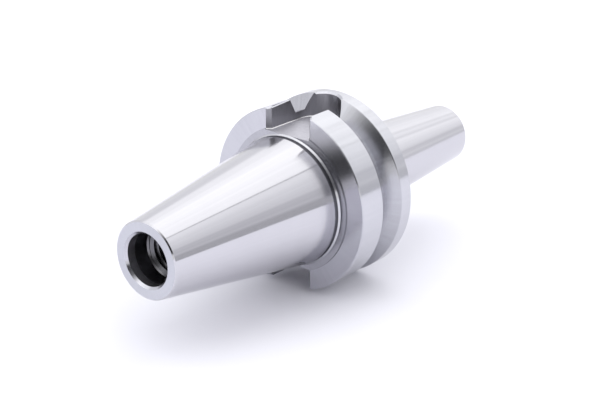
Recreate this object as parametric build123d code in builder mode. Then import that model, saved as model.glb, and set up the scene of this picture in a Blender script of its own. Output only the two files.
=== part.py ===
import os
from math import radians, sqrt, tan

from build123d import *

os.makedirs("parts", exist_ok=True)

# Shrink fit tool holder with a steep machine taper, turned from one piece of steel.
# The axis lies along X: zero is the gauge plane, plus X is towards the cutting tool.
# The holder lies on its flange with its two drive slots at the top and the bottom.
# All sizes are in millimetres.

# Taper: 7 in 24 on the diameter, size 40
gauge_diameter = 44.45
taper_ratio = 7 / 24
taper_length = 65.4
small_end_chamfer = 0.3

# Neck: a relief behind the taper, then a low ring that stands on the flange's rear face
relief_start = -1.4
relief_depth = 0.45
taper_run_out = 0.35
ring_height = 0.5
ring_cone = 0.5
ring_inner_diameter = 45.3
ring_diameter = 49.5

# Flange with the gripper groove
flange_diameter = 63.0
flange_rear = 1.0
flange_front = 27.0
flange_edge_chamfer = 0.3
groove_centre = 16.6
groove_width = 10.0
groove_root_diameter = 53.0
groove_angle = 60.0
groove_edge_chamfer = 0.15

# Drive slots, one at the top and one at the bottom
slot_width = 16.1
slot_floor = 22.6
slot_end = 24.0
slot_entry_chamfer = 1.4
slot_edge_chamfer = 0.7

# Nose that is heated to take the tool
nose_length = 90.0
nose_tip_diameter = 21.0
nose_root_diameter = 29.9
nose_root_fillet = 1.0
nose_tip_fillet = 1.0

# Hole for the pull stud in the small end
stud_pilot_diameter = 17.0
stud_pilot_depth = 9.0
stud_mouth_chamfer = 0.8
stud_thread_bore = 14.0
stud_thread_depth = 43.0
stud_thread_chamfer = 1.0
drill_point_angle = 118.0

# Bore for the tool shank, with the smaller hole for a stop screw and coolant behind it
tool_bore_diameter = 8.0
tool_bore_depth = 36.0
tool_mouth_chamfer = 0.5
stop_hole_diameter = 5.0

flange_radius = flange_diameter / 2
gauge_radius = gauge_diameter / 2
taper_slope = taper_ratio / 2
small_end = -taper_length
small_end_radius = gauge_radius - taper_slope * taper_length
groove_depth = flange_radius - groove_root_diameter / 2
flank_slope = tan(radians(groove_angle / 2))
half_mouth = groove_width / 2
half_root = half_mouth - groove_depth * flank_slope


def taper_radius(x):
    return gauge_radius + taper_slope * x


def neck_points():
    """The relief behind the taper, the 45 degree cone up to the ring, and the ring on the flange's rear face."""
    relief_radius = taper_radius(relief_start) - relief_depth
    ring_front = flange_rear - ring_height
    cone_start = ring_front - ring_cone
    return [
        (relief_start, taper_radius(relief_start)),
        (relief_start + taper_run_out, relief_radius),
        (cone_start, relief_radius),
        (cone_start, ring_inner_diameter / 2 - ring_cone),
        (ring_front, ring_inner_diameter / 2),
        (ring_front, ring_diameter / 2),
        (flange_rear, ring_diameter / 2),
    ]


# Driving values worked out for the slots and the turned cuts
slot_round_centre = slot_end - slot_width / 2
half_slot = slot_width / 2
half_entry = half_slot + slot_entry_chamfer
tool_clear = 1.0
same_place = 0.01


def is_slot_rim(edge):
    """True for an edge that a drive slot's wall makes with the flange's rim."""
    points = [edge @ 0, edge @ 0.5, edge @ 1]
    on_rim = all(abs(sqrt(point.Y**2 + point.Z**2) - flange_radius) < same_place for point in points)
    turned = all(abs(point.X - points[0].X) < same_place for point in points)
    in_slot = all(abs(point.Y) < half_entry + same_place for point in points)
    in_slot = in_slot and all(point.X < slot_end + same_place for point in points)
    return on_rim and in_slot and not turned


# The turned outline, with the groove, the slots and the bores taken out of it afterwards
with BuildPart() as holder_body:
    with BuildSketch(Plane.XZ):
        with BuildLine():
            Polyline(
                (nose_length, 0),
                (small_end, 0),
                (small_end, small_end_radius - small_end_chamfer),
                (small_end + small_end_chamfer, taper_radius(small_end + small_end_chamfer)),
                *neck_points(),
                (flange_rear, flange_radius),
                (flange_front, flange_radius),
                (flange_front, nose_root_diameter / 2),
                (nose_length, nose_tip_diameter / 2),
                (nose_length, 0),
            )
        make_face()
    revolve(axis=Axis.X)

    # Rounded rim of the nose, and the fillet where the nose leaves the flange
    fillet(holder_body.edges().filter_by(GeomType.CIRCLE).group_by(Axis.X)[-1], nose_tip_fillet)
    front_circles = holder_body.edges().filter_by(GeomType.CIRCLE).filter_by_position(
        Axis.X, flange_front - nose_root_fillet, flange_front + nose_root_fillet
    )
    fillet(front_circles.sort_by(SortBy.RADIUS)[0], nose_root_fillet)

    # Drive slots: open at the rear face, with a full round end in the front collar
    for turn in (0, 180):
        with BuildSketch(Plane.XY.rotated((turn, 0, 0)).offset(slot_floor)):
            with BuildLine():
                Polyline(
                    (slot_round_centre, -half_slot),
                    (flange_rear + slot_entry_chamfer, -half_slot),
                    (flange_rear, -half_entry),
                    (flange_rear - half_entry, -half_entry),
                    (flange_rear - half_entry, half_entry),
                    (flange_rear, half_entry),
                    (flange_rear + slot_entry_chamfer, half_slot),
                    (slot_round_centre, half_slot),
                )
                ThreePointArc((slot_round_centre, half_slot), (slot_end, 0), (slot_round_centre, -half_slot))
            make_face()
        extrude(amount=flange_radius, mode=Mode.SUBTRACT)
    chamfer([edge for edge in holder_body.edges() if is_slot_rim(edge)], slot_edge_chamfer)

    # Gripper groove with its corners broken, and the chamfers of the flange's two rims
    break_depth = groove_edge_chamfer / flank_slope
    with BuildSketch(Plane.XZ):
        with BuildLine():
            Polyline(
                (groove_centre - half_mouth - groove_edge_chamfer, flange_radius + tool_clear),
                (groove_centre - half_mouth - groove_edge_chamfer, flange_radius),
                (groove_centre - half_mouth + groove_edge_chamfer, flange_radius - break_depth),
                (groove_centre - half_root, groove_root_diameter / 2),
                (groove_centre + half_root, groove_root_diameter / 2),
                (groove_centre + half_mouth - groove_edge_chamfer, flange_radius - break_depth),
                (groove_centre + half_mouth + groove_edge_chamfer, flange_radius),
                (groove_centre + half_mouth + groove_edge_chamfer, flange_radius + tool_clear),
                close=True,
            )
        make_face()
        for face_x, inward in ((flange_rear, 1), (flange_front, -1)):
            with BuildLine():
                Polyline(
                    (face_x, flange_radius - flange_edge_chamfer),
                    (face_x + inward * flange_edge_chamfer, flange_radius),
                    (face_x + inward * flange_edge_chamfer, flange_radius + tool_clear),
                    (face_x - inward * tool_clear, flange_radius + tool_clear),
                    (face_x - inward * tool_clear, flange_radius - flange_edge_chamfer),
                    close=True,
                )
            make_face()
    revolve(axis=Axis.X, mode=Mode.SUBTRACT)

    # Hole for the pull stud: mouth chamfer, pilot, tapping hole and drill point
    drill_radius = stud_thread_bore / 2
    pilot_radius = stud_pilot_diameter / 2
    drill_end = small_end + stud_thread_depth
    drill_tip = drill_end + drill_radius / tan(radians(drill_point_angle / 2))
    pilot_floor = small_end + stud_pilot_depth
    with BuildSketch(Plane.XZ):
        with BuildLine():
            Polyline(
                (small_end, 0),
                (small_end, pilot_radius + stud_mouth_chamfer),
                (small_end + stud_mouth_chamfer, pilot_radius),
                (pilot_floor, pilot_radius),
                (pilot_floor, drill_radius + stud_thread_chamfer),
                (pilot_floor + stud_thread_chamfer, drill_radius),
                (drill_end, drill_radius),
                (drill_tip, 0),
                close=True,
            )
        make_face()
    revolve(axis=Axis.X, mode=Mode.SUBTRACT)

    # Bore for the tool shank, and the stop screw hole that joins it to the stud's hole
    tool_radius = tool_bore_diameter / 2
    stop_radius = stop_hole_diameter / 2
    bore_floor = nose_length - tool_bore_depth
    with BuildSketch(Plane.XZ):
        with BuildLine():
            Polyline(
                (nose_length, 0),
                (nose_length, tool_radius + tool_mouth_chamfer),
                (nose_length - tool_mouth_chamfer, tool_radius),
                (bore_floor, tool_radius),
                (bore_floor - (tool_radius - stop_radius), stop_radius),
                (drill_end, stop_radius),
                (drill_end, 0),
                close=True,
            )
        make_face()
    revolve(axis=Axis.X, mode=Mode.SUBTRACT)

holder_body.part.label = "holder_body"
export_step(holder_body.part, "parts/holder_body.step")
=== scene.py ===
from math import atan, cos, degrees, pi, radians, sin, sqrt, tan

import bpy
from mathutils import Euler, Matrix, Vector


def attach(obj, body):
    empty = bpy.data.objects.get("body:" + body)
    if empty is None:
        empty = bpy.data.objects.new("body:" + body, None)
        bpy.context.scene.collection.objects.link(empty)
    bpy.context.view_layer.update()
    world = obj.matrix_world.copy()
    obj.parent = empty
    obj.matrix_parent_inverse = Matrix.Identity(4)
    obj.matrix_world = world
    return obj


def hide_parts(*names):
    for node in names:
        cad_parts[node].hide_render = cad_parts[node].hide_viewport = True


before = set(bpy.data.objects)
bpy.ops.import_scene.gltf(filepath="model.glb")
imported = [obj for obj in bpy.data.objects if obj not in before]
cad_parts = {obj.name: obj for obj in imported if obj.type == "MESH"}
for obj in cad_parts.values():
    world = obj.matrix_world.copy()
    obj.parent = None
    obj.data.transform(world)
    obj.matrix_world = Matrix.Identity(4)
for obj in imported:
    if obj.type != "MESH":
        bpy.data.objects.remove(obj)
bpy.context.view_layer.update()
print("frame loaded")

# Shrink fit holder, dressed: ground taper, turned flange and nose, milled drive slots, tapped stud hole.
# Sizes are in millimetres and become metres in mm(). X is the axis, towards the tool; Z is up.

metre = 1000
mergeDistance = 0.002
hair, close, loose, wide = 0.01, 0.02, 0.05, 0.1  # how near in mm a place is to an edge or wall it belongs to


def mm(value):
    return value / metre


# #rrggbb to linear red, green, blue, alpha
def srgb(hexCode):
    parts = [int(hexCode[i:i + 2], 16) / 255 for i in (1, 3, 5)]
    return [p / 12.92 if p <= 0.04045 else ((p + 0.055) / 1.055) ** 2.4 for p in parts] + [1.0]


def deselectAll():
    if bpy.context.object and bpy.context.object.mode != "OBJECT":
        bpy.ops.object.mode_set(mode="OBJECT")
    bpy.ops.object.select_all(action="DESELECT")


def useOnly(obj):
    deselectAll()
    obj.select_set(True)
    bpy.context.view_layer.objects.active = obj


def applyModifier(obj, name):
    useOnly(obj)
    bpy.ops.object.modifier_apply(modifier=name)


# Body: one outline spun round the axis

holder = {
    "gaugeRadius": 22.225, "taperSlope": 7 / 48, "smallEnd": -65.4, "smallEndEdge": 0.38,
    "reliefStart": -1.4, "reliefDepth": 0.45, "runOut": 0.35,
    "breakBefore": 0.08, "breakAfter": 0.05, "breakDrop": 0.06,  # the small break where the relief starts
    "ringFront": 0.5, "ringCone": 0.5, "ringInner": 22.65, "ringRadius": 24.75, "ringBreak": 0.05,
    "flangeRadius": 31.5, "flangeRear": 1.0, "flangeFront": 27.0, "rimEdge": 0.3,
    "grooveCentre": 16.6, "mouthHalf": 5.0, "rootRadius": 26.5, "flankSlope": tan(radians(30)),
    "cornerBreak": 0.15,
    "noseLength": 90.0, "noseTip": 10.5, "noseRoot": 14.95,
    "noseFillet": 1.0, "filletShift": 0.035, "rootSteps": 6, "tipSteps": 8,
    "pilot": 8.5, "pilotDepth": 9.0, "mouthEdge": 0.8, "pilotLand": 3.8,
    "threadMajor": 8.0, "threadMinor": 7.0, "threadLength": 21.0, "drillDepth": 43.0, "drillPointHalf": 59,
    "toolBore": 4.0, "toolDepth": 36.0, "toolEdge": 0.5, "stopHole": 2.5,
    "segments": 256, "smoothAngle": 25,
}


# points on a circle, angles in degrees
def arc(centre, radius, start, end, steps):
    turn = [radians(start + (end - start) * i / steps) for i in range(steps + 1)]
    return [(centre[0] + radius * cos(a), centre[1] + radius * sin(a)) for a in turn]


def taperAt(x):
    return holder["gaugeRadius"] + holder["taperSlope"] * x


# x from the groove's centre and radius, from its rear corner to its front one
def grooveOutline(p):
    cut = p["cornerBreak"]
    rootHalf = p["mouthHalf"] - (p["flangeRadius"] - p["rootRadius"]) * p["flankSlope"]
    side = [
        (rootHalf, p["rootRadius"]),
        (p["mouthHalf"] - cut, p["flangeRadius"] - cut / p["flankSlope"]),
        (p["mouthHalf"] + cut, p["flangeRadius"]),
    ]
    return [(-x, radius) for x, radius in reversed(side)] + side


# x and radius of the taper, the relief behind it and the low ring on the flange's rear face
def rearOutline(p):
    smallEnd, reliefStart, ringFront = p["smallEnd"], p["reliefStart"], p["ringFront"]
    breakStart = reliefStart - p["breakBefore"]
    taperEnd = taperAt(reliefStart)
    relief = taperEnd - p["reliefDepth"]
    coneStart = ringFront - p["ringCone"]
    return [
        (smallEnd, taperAt(smallEnd) - p["smallEndEdge"]),
        (smallEnd + p["smallEndEdge"], taperAt(smallEnd + p["smallEndEdge"])),
        (breakStart, taperAt(breakStart)),
        (reliefStart + p["breakAfter"], taperEnd - p["breakDrop"]),
        (reliefStart + p["runOut"], relief),
        (coneStart, relief),
        (coneStart, p["ringInner"] - p["ringCone"]),
        (ringFront, p["ringInner"]),
        (ringFront, p["ringRadius"] - p["ringBreak"]),
        (ringFront + p["ringBreak"], p["ringRadius"]),
        (p["flangeRear"], p["ringRadius"]),
    ]


# x and radius of the flange with its groove, and of the nose with a fillet at its root and its tip
def frontOutline(p):
    rear, front, rim, edge = p["flangeRear"], p["flangeFront"], p["flangeRadius"], p["rimEdge"]
    tip, fillet, shift = p["noseLength"], p["noseFillet"], p["filletShift"]
    flange = [(rear, rim - edge), (rear + edge, rim)]
    flange += [(p["grooveCentre"] + x, radius) for x, radius in grooveOutline(p)]
    flange += [(front - edge, rim), (front, rim - edge)]
    noseHalf = degrees(atan((p["noseRoot"] - p["noseTip"]) / (tip - front)))
    rootCentre = (front + fillet, p["noseRoot"] + fillet - shift)
    tipCentre = (tip - fillet, p["noseTip"] - fillet + shift)
    nose = arc(rootCentre, fillet, 180, 270 - noseHalf, p["rootSteps"])
    nose += arc(tipCentre, fillet, 90 - noseHalf, 0, p["tipSteps"])
    return flange + nose


# x and radius of the tool bore, the stop screw's hole and the stud's hole, back to the small end
def boreOutline(p):
    smallEnd, tip, pilot = p["smallEnd"], p["noseLength"], p["pilot"]
    toolBore, stopHole, major, minor = p["toolBore"], p["stopHole"], p["threadMajor"], p["threadMinor"]
    boreFloor = tip - p["toolDepth"]
    pilotFloor = smallEnd + p["pilotDepth"]
    threadStart = pilotFloor + pilot - major
    threadEnd = pilotFloor + p["threadLength"]
    drillEnd = smallEnd + p["drillDepth"]
    drillTip = drillEnd + (minor - stopHole) / tan(radians(p["drillPointHalf"]))
    return [
        (tip, toolBore + p["toolEdge"]),
        (tip - p["toolEdge"], toolBore),
        (boreFloor, toolBore),
        (boreFloor - (toolBore - stopHole), stopHole),
        (drillTip, stopHole),
        (drillEnd, minor),
        (threadEnd + (major - minor), minor),
        (threadEnd, major),
        (threadStart, major),
        (pilotFloor, pilot),
        (smallEnd + p["pilotLand"], pilot),
        (smallEnd + p["mouthEdge"], pilot),
        (smallEnd, pilot + p["mouthEdge"]),
    ]


# a vertex is drawn round the corners (x, y, z in mm) and the loop is closed, or filled as a face
def drawLoop(name, corners, fill=False):
    deselectAll()
    bpy.ops.mesh.primitive_plane_add(size=mm(1), location=[mm(c) for c in corners[0]])
    obj = bpy.context.object
    obj.name = name
    bpy.ops.object.mode_set(mode="EDIT")
    bpy.ops.mesh.select_mode(type="VERT")
    bpy.ops.mesh.select_all(action="SELECT")
    bpy.ops.mesh.merge(type="CENTER")
    for here, there in zip(corners, corners[1:]):
        step = [mm(b - a) for a, b in zip(here, there)]
        bpy.ops.mesh.extrude_region_move(TRANSFORM_OT_translate={"value": step})
    bpy.ops.mesh.select_all(action="SELECT" if fill else "DESELECT")
    if not fill:
        bpy.ops.object.mode_set(mode="OBJECT")
        obj.data.vertices[0].select = obj.data.vertices[len(corners) - 1].select = True
        bpy.ops.object.mode_set(mode="EDIT")
    bpy.ops.mesh.edge_face_add()
    bpy.ops.object.mode_set(mode="OBJECT")
    bpy.ops.object.transform_apply(location=True, rotation=True, scale=True)
    return obj


def turnNormalsOut():
    bpy.ops.mesh.select_all(action="SELECT")
    bpy.ops.mesh.normals_make_consistent(inside=False)


# a closed outline of x and radius, spun once round X
def latheLoop(name, outline, segments):
    obj = drawLoop(name, [(x, 0, radius) for x, radius in outline])
    bpy.ops.object.mode_set(mode="EDIT")
    bpy.ops.mesh.select_all(action="SELECT")
    bpy.ops.mesh.spin(steps=segments, angle=2 * pi, center=(0, 0, 0), axis=(1, 0, 0))
    bpy.ops.mesh.select_all(action="SELECT")
    bpy.ops.mesh.remove_doubles(threshold=mm(mergeDistance))
    turnNormalsOut()
    bpy.ops.object.mode_set(mode="OBJECT")
    return obj


bodyOutline = rearOutline(holder) + frontOutline(holder) + boreOutline(holder)
holderBody = latheLoop("holderBody", bodyOutline, holder["segments"])
print("body spun:", len(holderBody.data.polygons), "faces")

# Drive slots: a flat-bottomed cutter with a round end and a flared mouth, used at the top and the bottom

slot = {
    "width": 16.1, "floor": 22.6, "end": 24.0, "entry": 1.4, "rimEdge": 0.7, "fillet": 0.5,
    "cutterTop": 34.0, "cutterReach": 9, "roundSteps": 48, "filletSteps": 4,
}
slotHalf = slot["width"] / 2
slotRound = slot["end"] - slotHalf
slotMouth = holder["flangeRear"] + slot["entry"]


def slotOutline():
    rear, flared = holder["flangeRear"], slotHalf + slot["entry"]
    far = rear - slot["cutterReach"]
    points = arc((slotRound, 0), slotHalf, -90, 90, slot["roundSteps"])
    points += [(slotMouth, slotHalf), (rear, flared), (far, flared)]
    points += [(far, -flared), (rear, -flared), (slotMouth, -slotHalf)]
    return points


# selects the edges whose two ends, in mm, both pass the test, and counts them
def selectEdges(obj, wanted):
    useOnly(obj)
    bpy.ops.object.mode_set(mode="EDIT")
    bpy.ops.mesh.select_mode(type="EDGE")
    bpy.ops.mesh.select_all(action="DESELECT")
    bpy.ops.object.mode_set(mode="OBJECT")
    fits = [wanted(v.co * metre) for v in obj.data.vertices]
    for edge in obj.data.edges:
        edge.select = fits[edge.vertices[0]] and fits[edge.vertices[1]]
    count = sum(edge.select for edge in obj.data.edges)
    bpy.ops.object.mode_set(mode="EDIT")
    return count


def bevelSelected(width, segments):
    bpy.ops.mesh.bevel(
        offset=mm(width), offset_type="OFFSET", segments=segments, affect="EDGES", clamp_overlap=False
    )
    bpy.ops.object.mode_set(mode="OBJECT")


def slotCutter(turn):
    cutter = drawLoop("slotCutter", [(x, y, slot["floor"]) for x, y in slotOutline()], fill=True)
    bpy.ops.object.mode_set(mode="EDIT")
    bpy.ops.mesh.select_all(action="SELECT")
    rise = mm(slot["cutterTop"] - slot["floor"])
    bpy.ops.mesh.extrude_region_move(TRANSFORM_OT_translate={"value": (0, 0, rise)})
    turnNormalsOut()
    selectEdges(cutter, lambda p: p.z < slot["floor"] + hair)
    bevelSelected(slot["fillet"], slot["filletSteps"])
    cutter.rotation_euler = (turn, 0, 0)
    bpy.ops.object.transform_apply(location=True, rotation=True, scale=True)
    return cutter


def cutWith(obj, cutter):
    boolean = obj.modifiers.new("cut", "BOOLEAN")
    boolean.operation = "DIFFERENCE"
    boolean.solver = "EXACT"
    boolean.object = cutter
    applyModifier(obj, "cut")
    bpy.data.objects.remove(cutter)


# how far a point in mm stands off the slot's wall, seen from above
def offSlotWall(point):
    x, y = point[0], abs(point[1])
    if x > slotRound:
        return abs(sqrt((x - slotRound) ** 2 + y ** 2) - slotHalf)
    return abs(y - slotHalf - max(0, slotMouth - x))


def onSlotRim(p):
    return sqrt(p.y ** 2 + p.z ** 2) > holder["flangeRadius"] - close and offSlotWall(p) < close


for turn in (0, pi):
    cutWith(holderBody, slotCutter(turn))
rimEdges = selectEdges(holderBody, onSlotRim)
bevelSelected(slot["rimEdge"], 1)
print("slots cut,", rimEdges, "rim edges bevelled,", len(holderBody.data.polygons), "faces")

# Thread for the pull stud: one ridge wound along the bore

thread = {
    "pitch": 2.0, "crest": 6.92, "foot": 8.06, "crestHalf": 0.16, "footHalf": 0.86, "turns": 9,
    "steps": 72, "startGap": 0.9, "startTurn": 135, "smoothAngle": 30,
}


def woundThread():
    start = holder["smallEnd"] + holder["pilotDepth"] + thread["startGap"]
    corners = [(-thread["footHalf"], thread["foot"]), (-thread["crestHalf"], thread["crest"])]
    corners += [(thread["crestHalf"], thread["crest"]), (thread["footHalf"], thread["foot"])]
    ridge = drawLoop("studThread", [(start + x, 0, r) for x, r in corners])
    useOnly(ridge)
    screw = ridge.modifiers.new("wind", "SCREW")
    screw.axis = "X"
    screw.screw_offset = mm(thread["pitch"])
    screw.iterations = thread["turns"]
    screw.steps = screw.render_steps = thread["steps"]
    screw.use_smooth_shade = False
    applyModifier(ridge, "wind")
    bpy.ops.object.mode_set(mode="EDIT")
    bpy.ops.mesh.select_all(action="SELECT")
    bpy.ops.mesh.fill_holes(sides=len(corners))
    turnNormalsOut()
    bpy.ops.object.mode_set(mode="OBJECT")
    ridge.rotation_euler = (radians(thread["startTurn"]), 0, 0)
    bpy.ops.object.transform_apply(location=True, rotation=True, scale=True)
    return ridge


studThread = woundThread()
print("thread wound:", len(studThread.data.polygons), "faces")


# Materials: hardened tool steel, each zone named for the way it was finished, some with painted shade or a
# painted highlight in their colour

# adds one node; settings go to its properties or sockets, links join its inputs to other nodes' outputs
def addNode(tree, kind, settings=None, **links):
    node = tree.nodes.new(kind)
    for key, value in (settings or {}).items():
        if isinstance(key, str) and hasattr(node, key) and key not in node.inputs:
            setattr(node, key, value)
        else:
            node.inputs[key].default_value = value
    for key, source in links.items():
        socket = int(key[2:]) if key.startswith("in") else key.replace("_", " ")
        tree.links.new(source, node.inputs[socket])
    return node


def emptyTree(owner):
    owner.use_nodes = True
    owner.node_tree.nodes.clear()
    return owner.node_tree


# place; x and distance from the axis, for rings; the direction round the axis; and the spoke, for streaks
def aroundAxis(tree):
    place = addNode(tree, "ShaderNodeTexCoord").outputs["Object"]
    apart = addNode(tree, "ShaderNodeSeparateXYZ", Vector=place)
    flat = addNode(tree, "ShaderNodeCombineXYZ", Y=apart.outputs["Y"], Z=apart.outputs["Z"])
    radius = addNode(tree, "ShaderNodeVectorMath", {"operation": "LENGTH"}, in0=flat.outputs[0])
    across = addNode(tree, "ShaderNodeVectorMath", {"operation": "CROSS_PRODUCT", 0: (1, 0, 0)}, in1=place)
    tangent = addNode(tree, "ShaderNodeVectorMath", {"operation": "NORMALIZE"}, in0=across.outputs[0])
    grain = addNode(tree, "ShaderNodeCombineXYZ", X=apart.outputs["X"], Y=radius.outputs["Value"])
    spoke = addNode(tree, "ShaderNodeVectorMath", {"operation": "NORMALIZE"}, in0=flat.outputs[0])
    return place, grain.outputs[0], tangent.outputs[0], spoke.outputs[0]


lathe = {
    "ringDepth": 0.004, "ringDetail": 2.0, "roughSpread": 0.25, "cloudDetail": 3.0,
    "grainTurn": 0.25,  # a quarter turn stretches reflections across the rings
    "streaks": 27.0, "streakDetail": 4.0,  # to the radian, so one is 0.8 mm wide at the gauge plane
    "faint": 0.34, "streakShare": 0.42,
}


# steel cut or ground on a lathe: fine rings round the axis stretch its reflections along the axis
def turnedSteel(finish):
    material = bpy.data.materials.new(finish["title"])
    tree = emptyTree(material)
    place, grain, tangent, spoke = aroundAxis(tree)
    rings = addNode(
        tree, "ShaderNodeTexNoise",
        {"Scale": metre / finish["ringSpacing"], "Detail": lathe["ringDetail"]}, Vector=grain,
    )
    cloud = addNode(
        tree, "ShaderNodeTexNoise",
        {"Scale": metre / finish["cloudSize"], "Detail": lathe["cloudDetail"]}, Vector=place,
    )
    streaks = addNode(
        tree, "ShaderNodeTexNoise", {"Scale": lathe["streaks"], "Detail": lathe["streakDetail"]}, Vector=spoke
    )
    clear = addNode(
        tree, "ShaderNodeMapRange", {"From Min": lathe["faint"], "From Max": 1 - lathe["faint"]},
        Value=streaks.outputs[0],
    )
    marks = addNode(
        tree, "ShaderNodeMix", {"data_type": "FLOAT", 0: lathe["streakShare"]},
        in2=cloud.outputs[0], in3=clear.outputs[0],
    )
    tone = addNode(
        tree, "ShaderNodeMix", {"data_type": "RGBA", 6: srgb(finish["dark"]), 7: srgb(finish["light"])},
        in0=marks.outputs[0],
    )
    bump = addNode(
        tree, "ShaderNodeBump", {"Strength": finish["ringBump"], "Distance": mm(lathe["ringDepth"])},
        Height=rings.outputs[0],
    )
    rough = addNode(
        tree, "ShaderNodeMapRange",
        {"To Min": finish["roughness"] * (1 - lathe["roughSpread"]),
         "To Max": finish["roughness"] * (1 + lathe["roughSpread"])},
        Value=rings.outputs[0],
    )
    steel = addNode(
        tree, "ShaderNodeBsdfPrincipled",
        {"Metallic": 1.0, "Anisotropic": finish["stretch"], "Anisotropic Rotation": lathe["grainTurn"]},
        Base_Color=tone.outputs[2], Roughness=rough.outputs[0], Normal=bump.outputs[0], Tangent=tangent,
    )
    addNode(tree, "ShaderNodeOutputMaterial", Surface=steel.outputs[0])
    return material


mill = {"markDepth": 0.01, "markDetail": 2.0, "markStretch": (1, 1, 0.12)}


# steel left by an end mill: plain satin with faint feed marks
def milledSteel(finish):
    material = bpy.data.materials.new(finish["title"])
    tree = emptyTree(material)
    place = addNode(tree, "ShaderNodeTexCoord").outputs["Object"]
    marks = addNode(tree, "ShaderNodeMapping", {"Scale": mill["markStretch"]}, Vector=place)
    feed = addNode(
        tree, "ShaderNodeTexNoise",
        {"Scale": metre / finish["feed"], "Detail": mill["markDetail"]}, Vector=marks.outputs[0],
    )
    bump = addNode(
        tree, "ShaderNodeBump", {"Strength": finish["feedBump"], "Distance": mm(mill["markDepth"])},
        Height=feed.outputs[0],
    )
    tone = addNode(
        tree, "ShaderNodeMix", {"data_type": "RGBA", 6: srgb(finish["dark"]), 7: srgb(finish["light"])},
        in0=feed.outputs[0],
    )
    steel = addNode(
        tree, "ShaderNodeBsdfPrincipled", {"Metallic": 1.0, "Roughness": finish["roughness"]},
        Base_Color=tone.outputs[2], Normal=bump.outputs[0],
    )
    addNode(tree, "ShaderNodeOutputMaterial", Surface=steel.outputs[0])
    return material


# Spacings and sizes of the marks are in mm. Real turning rings and feed marks lie 0.1 mm apart or less,
# too fine to show, so they are drawn as coarse as they need to be.
milledFinishes = {
    # cut by the side of the mill, satin; its darker colour is painted shade inside the slot
    "slotWall": {
        "title": "side milled steel", "light": "#a3a2a7", "dark": "#8e8e93", "roughness": 0.32,
        "feed": 0.6, "feedBump": 0.15,
    },
    # cut by the end of the mill, pale and the dullest of all
    "slotFloor": {
        "title": "end milled steel", "light": "#d5d4da", "dark": "#bfbdc5", "roughness": 0.55,
        "feed": 1.2, "feedBump": 0.2,
    },
    # the mill's corner radius between wall and floor: a bright line, part real reflection off the radius and
    # part painted highlight in its pale colour
    "slotFilletHighlight": {
        "title": "mill radius steel", "light": "#deddde", "dark": "#d4d3d4", "roughness": 0.25,
        "feed": 0.6, "feedBump": 0.05,
    },
}
turnedFinishes = {
    # ground between centres, the brightest: long lamps show as sharp bands from end to end
    "groundTaper": {
        "title": "cylindrically ground steel", "light": "#cccbd0", "dark": "#c5c4c9", "roughness": 0.12,
        "stretch": 1.0, "ringSpacing": 0.9, "ringBump": 0.05, "cloudSize": 14.0,
    },
    # ground rims of the flange, bright with slightly softer bands
    "groundRim": {
        "title": "ground rim steel", "light": "#cbcbd0", "dark": "#c2c2c8", "roughness": 0.14,
        "stretch": 1.0, "ringSpacing": 0.8, "ringBump": 0.08, "cloudSize": 9.0,
    },
    # faced flat, with the fans of light that fine rings spread over a face
    "turnedFace": {
        "title": "fine turned steel", "light": "#c7c7cd", "dark": "#bdbdc4", "roughness": 0.17,
        "stretch": 0.9, "ringSpacing": 0.3, "ringBump": 0.12, "cloudSize": 8.0,
    },
    # the groove's flanks and root, a shade darker and softer than the faces
    "turnedGroove": {
        "title": "turned groove steel", "light": "#c1c2c8", "dark": "#b3b2b8", "roughness": 0.20,
        "stretch": 0.9, "ringSpacing": 0.3, "ringBump": 0.12, "cloudSize": 6.0,
    },
    # the undercut behind the taper, dull; its dark colour is painted shade in the recess
    "turnedRelief": {
        "title": "turned relief steel", "light": "#929298", "dark": "#85848a", "roughness": 0.24,
        "stretch": 0.9, "ringSpacing": 0.3, "ringBump": 0.12, "cloudSize": 6.0,
    },
    # the low ring on the rear face, a fine line a little darker than the face round it
    "turnedRing": {
        "title": "turned ring steel", "light": "#b5b5bc", "dark": "#aaaab0", "roughness": 0.17,
        "stretch": 0.9, "ringSpacing": 0.3, "ringBump": 0.12, "cloudSize": 6.0,
    },
    # the small end's flat, evenly pale without clear reflections
    "satinEnd": {
        "title": "satin end steel", "light": "#cacbd2", "dark": "#c2c3ca", "roughness": 0.45,
        "stretch": 0.5, "ringSpacing": 0.3, "ringBump": 0.1, "cloudSize": 6.0,
    },
    # the deep bores, darkest of all from painted shade, with a faint gleam
    "boredSteel": {
        "title": "bored steel", "light": "#79787c", "dark": "#6d6c70", "roughness": 0.24,
        "stretch": 0.6, "ringSpacing": 0.5, "ringBump": 0.2, "cloudSize": 5.0,
    },
    # the pilot's first land, paler than the bore behind it: painted shade, lighter near the mouth
    "pilotSteel": {
        "title": "reamed steel", "light": "#b2b2b6", "dark": "#a3a3a7", "roughness": 0.30,
        "stretch": 0.6, "ringSpacing": 0.5, "ringBump": 0.1, "cloudSize": 5.0,
    },
    # the thread's turns, dull lines that catch some light in the dark hole; their dark colour is painted shade
    "threadSteel": {
        "title": "tapped thread steel", "light": "#76767a", "dark": "#66666b", "roughness": 0.28,
        "stretch": 0.4, "ringSpacing": 0.3, "ringBump": 0.1, "cloudSize": 5.0,
    },
}
facing = {"level": 0.9, "outward": 0.95, "inward": 0.5}  # share of a face's normal that points that way
rimDepth = 0.5  # mm from the rim or the groove's mouth that still count as theirs
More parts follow.
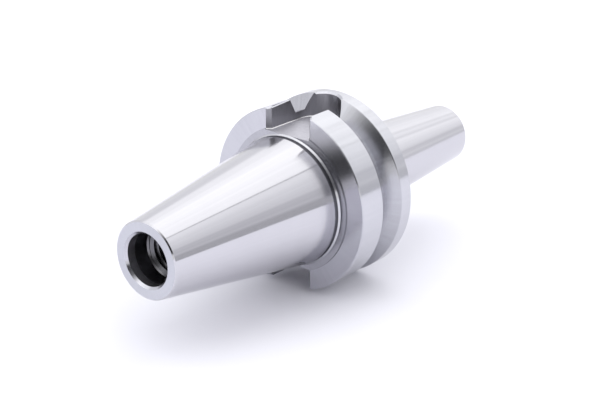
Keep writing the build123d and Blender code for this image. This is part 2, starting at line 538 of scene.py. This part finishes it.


# which finish, with its painted shade or highlight where it has one, a face of the body has, by its place in
# mm and its normal
def zoneOf(centre, normal):
    x, radius, height = centre.x, sqrt(centre.y ** 2 + centre.z ** 2), abs(centre.z)
    offWall = offSlotWall(centre)
    inSlot = holder["flangeRear"] < x < slot["end"] + wide and height > slot["floor"] - wide
    underRim = abs(centre.y) < slotHalf + slot["entry"] and radius < holder["flangeRadius"] - holder["rimEdge"]
    if inSlot and underRim and (offWall < loose or abs(height - slot["floor"]) < close):
        return "slotFloor" if abs(normal.z) > facing["level"] else "slotWall"
    if inSlot and height < slot["floor"] + slot["fillet"] and offWall < slot["fillet"]:
        return "slotFilletHighlight"
    if x < holder["smallEnd"] + close:
        return "satinEnd"
    outward = (normal.y * centre.y + normal.z * centre.z) / radius
    inBore = radius < holder["pilot"] + holder["mouthEdge"] and outward < facing["inward"]
    if inBore and x < holder["noseLength"] - hair:
        if x < holder["smallEnd"] + holder["mouthEdge"]:
            return "turnedFace"
        return "pilotSteel" if x < holder["smallEnd"] + holder["pilotLand"] else "boredSteel"
    if x < holder["reliefStart"]:
        return "groundTaper"
    if x < holder["ringFront"] - holder["ringCone"] + hair:
        return "turnedRelief"
    if x < holder["ringFront"] - hair:
        return "groundRim"
    if x < holder["flangeRear"] - hair and radius < holder["ringRadius"] + loose:
        return "turnedRing" if x < holder["ringFront"] + hair else "turnedRelief"
    if x < holder["flangeFront"] + hair:
        if outward > facing["outward"]:
            return "groundRim" if radius > holder["flangeRadius"] - rimDepth else "turnedGroove"
        inGroove = abs(x - holder["grooveCentre"]) < holder["mouthHalf"] + rimDepth
        return "turnedGroove" if inGroove else "turnedFace"
    return "groundTaper"


def dressSteel():
    keys = list(milledFinishes) + list(turnedFinishes)
    steels = [milledSteel(finish) for finish in milledFinishes.values()]
    steels += [turnedSteel(finish) for finish in turnedFinishes.values()]
    holderBody.data.materials.clear()
    for steel in steels:
        holderBody.data.materials.append(steel)
    for face in holderBody.data.polygons:
        face.material_index = keys.index(zoneOf(face.center * metre, face.normal))
    studThread.data.materials.clear()
    studThread.data.materials.append(steels[keys.index("threadSteel")])


def smooth(obj, angle):
    useOnly(obj)
    bpy.ops.object.shade_smooth_by_angle(angle=radians(angle))
    weighted = obj.modifiers.new("weighted", "WEIGHTED_NORMAL")
    weighted.keep_sharp = True
    weighted.weight = 100  # the large faces lead
    applyModifier(obj, "weighted")


dressSteel()
smooth(holderBody, holder["smoothAngle"])
smooth(studThread, thread["smoothAngle"])
for piece in (holderBody, studThread):
    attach(piece, "root")
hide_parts("holder_body")
print("dressed")

# Studio: pale paper under the holder, four soft lamps for the paper, and a banded sky for the steel to reflect

studio = {
    "floorDrop": 31.5, "floorSize": 8000, "floorColour": "#e2e2e9",
    "lampSoftness": 50, "lampColour": (1.0, 0.985, 0.95),
}
lamps = [  # tilt from straight down, turn round the vertical, strength
    {"tilt": 55, "turn": -90, "strength": 0.42}, {"tilt": 55, "turn": 0, "strength": 0.69},
    {"tilt": 55, "turn": 180, "strength": 0.19}, {"tilt": 30, "turn": 75, "strength": 0.36},
]
skyBands = [  # degrees round the axis from straight up, minus away from the camera, and brightness there
    (-95, 1.34), (-90, 1.23), (-84, 1.12), (-76, 1.05), (-60, 1.04), (-53, 1.12), (-50, 1.44),
    (-41, 1.44), (-36, 1.50), (-27, 1.61), (-16, 1.72), (-3, 1.65), (3, 1.61), (8, 1.66),
    (12, 1.53), (19, 1.58), (25, 1.50), (26.4, 1.42), (27.5, 0.25), (28.6, 1.25), (36, 1.25),
    (41, 1.13), (58, 0.99), (64, 0.81), (70, 0.75), (75, 0.79), (80, 0.59), (95, 0.54),
]
noseBands = [  # the same for the nose's end of the studio
    (-95, 1.30), (-90, 1.32), (-84, 1.30), (-70, 1.24), (-60, 1.20), (-53, 1.22), (-45, 1.28),
    (-36, 1.36), (-20, 1.43), (-12, 1.51), (-8.5, 1.45), (-6, 0.80), (-3.5, 1.33), (3, 1.36),
    (9, 1.33), (13, 1.24), (15.5, 0.95), (18, 1.34), (24, 1.46), (30, 1.38), (39, 1.29),
    (48, 1.21), (53, 1.22), (57, 1.15), (62, 0.98), (70, 0.94), (79, 1.05), (86, 0.92), (95, 0.87),
]
sky = {
    "reach": 96,  # degrees either side of straight up
    "noseFrom": 0.68, "noseTo": 0.80,  # share of a direction along X where the nose's bands take over
    "green": 1.005, "blue": 1.09, "blueFall": 0.05,  # a cool tint that fades in the brightest bands
}
# the unlit end of the room, behind the small end, and the pale wall round the horizon with a gap in it
darkRoom = {"towards": (-0.92, -0.31, 0.14), "edge": 52, "core": 20, "level": 0.06}
paleWall = {"top": 8.6, "fade": 0.6, "gapTowards": (0.695, -0.719, 0.0), "gapCore": 24, "gapEdge": 32}


def buildSky():
    world = bpy.data.worlds.new("studioSky")
    bpy.context.scene.world = world
    tree = emptyTree(world)
    way = addNode(tree, "ShaderNodeTexCoord").outputs["Generated"]
    apart = addNode(tree, "ShaderNodeSeparateXYZ", Vector=way)
    near = addNode(tree, "ShaderNodeMath", {"operation": "MULTIPLY", 1: -1.0}, in0=apart.outputs["Y"])
    turn = addNode(
        tree, "ShaderNodeMath", {"operation": "ARCTAN2"}, in0=near.outputs[0], in1=apart.outputs["Z"]
    )
    place = addNode(
        tree, "ShaderNodeMapRange",
        {"From Min": radians(-sky["reach"]), "From Max": radians(sky["reach"])}, Value=turn.outputs[0],
    )
    brightest = max(level for _, level in skyBands)
    ends = []
    for bands in (skyBands, noseBands):
        ramp = addNode(tree, "ShaderNodeValToRGB", in0=place.outputs[0])
        stops = ramp.color_ramp.elements
        while len(stops) < len(bands):
            stops.new(0.5)
        for stop, (angle, level) in zip(stops, bands):
            share = level / brightest
            stop.position = angle / sky["reach"] / 2 + 0.5
            stop.color = (share, share * sky["green"], share * (sky["blue"] - sky["blueFall"] * level), 1)
        ends.append(ramp.outputs[0])
    toNose = addNode(
        tree, "ShaderNodeMapRange",
        {"interpolation_type": "SMOOTHSTEP", "From Min": sky["noseFrom"], "From Max": sky["noseTo"]},
        Value=apart.outputs["X"],
    )
    colour = addNode(
        tree, "ShaderNodeMix", {"data_type": "RGBA"}, in0=toNose.outputs[0], in6=ends[0], in7=ends[1]
    )
    toDark = addNode(
        tree, "ShaderNodeVectorMath", {"operation": "DOT_PRODUCT", 1: darkRoom["towards"]}, in0=way
    )
    strength = addNode(
        tree, "ShaderNodeMapRange",
        {"interpolation_type": "SMOOTHSTEP", "From Min": cos(radians(darkRoom["edge"])),
         "From Max": cos(radians(darkRoom["core"])), "To Min": brightest, "To Max": darkRoom["level"]},
        Value=toDark.outputs["Value"],
    )
    banded = addNode(tree, "ShaderNodeBackground", Color=colour.outputs[2], Strength=strength.outputs[0])
    low = addNode(
        tree, "ShaderNodeMapRange",
        {"interpolation_type": "SMOOTHSTEP", "From Min": sin(radians(paleWall["top"] + paleWall["fade"])),
         "From Max": sin(radians(paleWall["top"]))},
        Value=apart.outputs["Z"],
    )
    toGap = addNode(
        tree, "ShaderNodeVectorMath", {"operation": "DOT_PRODUCT", 1: paleWall["gapTowards"]}, in0=way
    )
    walled = addNode(
        tree, "ShaderNodeMapRange",
        {"interpolation_type": "SMOOTHSTEP", "From Min": cos(radians(paleWall["gapCore"])),
         "From Max": cos(radians(paleWall["gapEdge"]))},
        Value=toGap.outputs["Value"],
    )
    share = addNode(
        tree, "ShaderNodeMath", {"operation": "MULTIPLY"}, in0=low.outputs[0], in1=walled.outputs[0]
    )
    wall = addNode(tree, "ShaderNodeBackground", {"Color": (1, 1, 1, 1)})
    mixed = addNode(
        tree, "ShaderNodeMixShader", in0=share.outputs[0], in1=banded.outputs[0], in2=wall.outputs[0]
    )
    addNode(tree, "ShaderNodeOutputWorld", Surface=mixed.outputs[0])


def buildFloor():
    deselectAll()
    drop = mm(studio["floorDrop"])
    bpy.ops.mesh.primitive_plane_add(size=mm(studio["floorSize"]), location=(0, 0, -drop))
    floor = bpy.context.object
    floor.name = "studioFloor"
    material = bpy.data.materials.new("matt white paper")  # no gleam, so that only the shadow shows on it
    material.use_nodes = True
    paper = material.node_tree.nodes["Principled BSDF"]
    paper.inputs["Base Color"].default_value = srgb(studio["floorColour"])
    paper.inputs["Roughness"].default_value = 1.0
    paper.inputs["Specular IOR Level"].default_value = 0.0
    floor.data.materials.append(material)


def buildLamp(spec):
    bpy.ops.object.light_add(type="SUN", rotation=(radians(spec["tilt"]), 0, radians(spec["turn"])))
    lamp = bpy.context.object
    lamp.data.energy = spec["strength"]
    lamp.data.color = studio["lampColour"]
    lamp.data.angle = radians(studio["lampSoftness"])
    lamp.visible_glossy = False


camera = {
    "place": (-372.8, -317.9, 191.5), "aim": (3.0, -3.5, 0.1), "roll": -0.05, "lens": 95.4,
    "nearest": 0.01, "farthest": 50,  # metres
}


def buildCamera():
    place, aim = Vector(camera["place"]) / metre, Vector(camera["aim"]) / metre
    bpy.ops.object.camera_add(location=place)
    eye = bpy.context.object
    turn = (aim - place).to_track_quat("-Z", "Y") @ Euler((0, 0, radians(camera["roll"]))).to_quaternion()
    eye.rotation_euler = turn.to_euler()
    eye.data.lens = camera["lens"]
    eye.data.clip_start, eye.data.clip_end = camera["nearest"], camera["farthest"]
    bpy.context.scene.camera = eye


buildSky()
buildFloor()
for spec in lamps:
    buildLamp(spec)
buildCamera()
bpy.context.scene.view_settings.view_transform = "Standard"
print("studio built")

print("scene ready")
